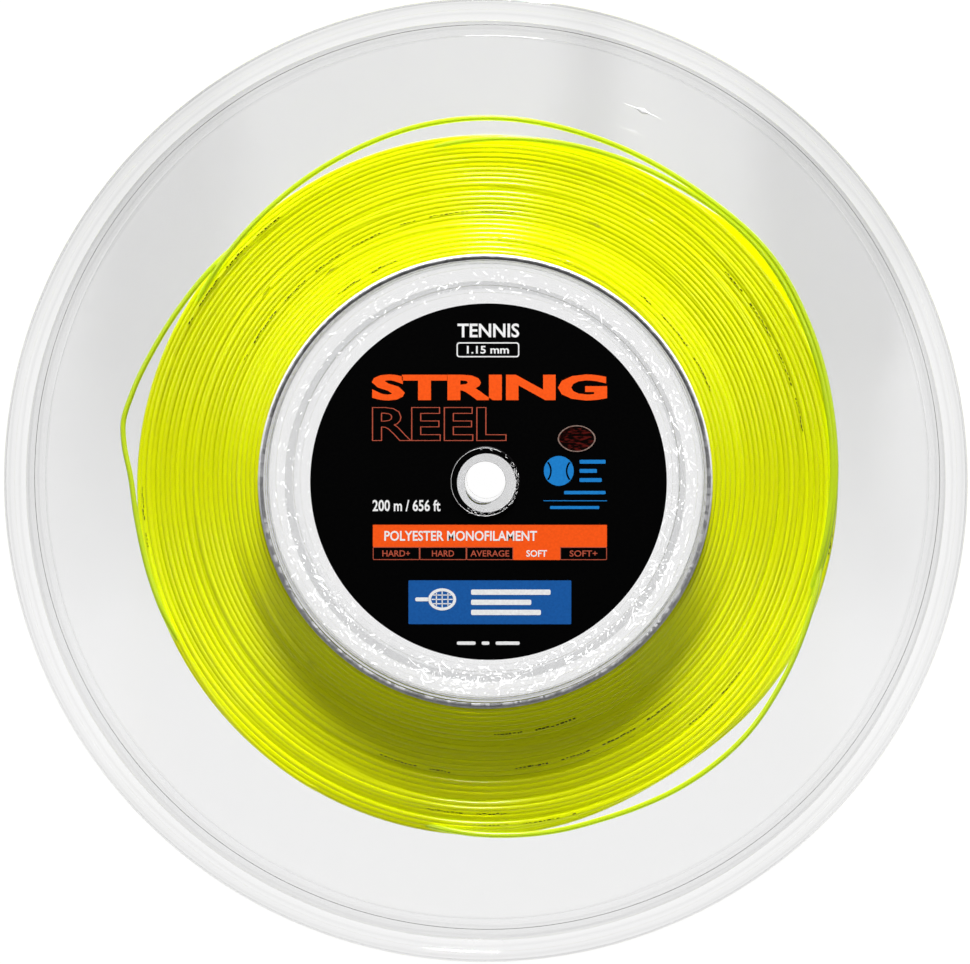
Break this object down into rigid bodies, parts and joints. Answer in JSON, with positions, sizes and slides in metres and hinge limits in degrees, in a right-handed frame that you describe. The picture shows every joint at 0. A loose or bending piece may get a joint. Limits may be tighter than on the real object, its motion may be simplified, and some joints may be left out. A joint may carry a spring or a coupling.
{
  "type": "string reel",
  "caption": "Clear flanged spool with a spindle bore and a round label, wound with fine yellow racket string.",
  "frame": {"origin": "middle of the plane that the rear flange's rim rests on", "axes": "+Z along the spindle bore out of the label, +Y to the top of the label, +X to its right"},
  "size_m": [0.2, 0.2, 0.0304],
  "materials": {
    "clear_plastic": "clear moulded polystyrene, polished",
    "weld": "whitened weld flash",
    "label_film": "black printed film, satin",
    "seal_foil": "red hologram foil",
    "string": "smooth fluorescent yellow polyester monofilament"
  },
  "bodies": {
    "root": {"front_flange": "clear_plastic", "rear_flange": "clear_plastic", "hub_drum": "clear_plastic", "inner_sleeve": "clear_plastic", "spindle_tube": "clear_plastic", "front_weld_bead": "weld", "rear_weld_bead": "weld", "front_label": "label_film", "seal_sticker": "seal_foil", "string_winding": "string", "top_loose_turn": "string", "left_loose_turn": "string", "lower_loose_turn": "string"}
  },
  "joints": []
}
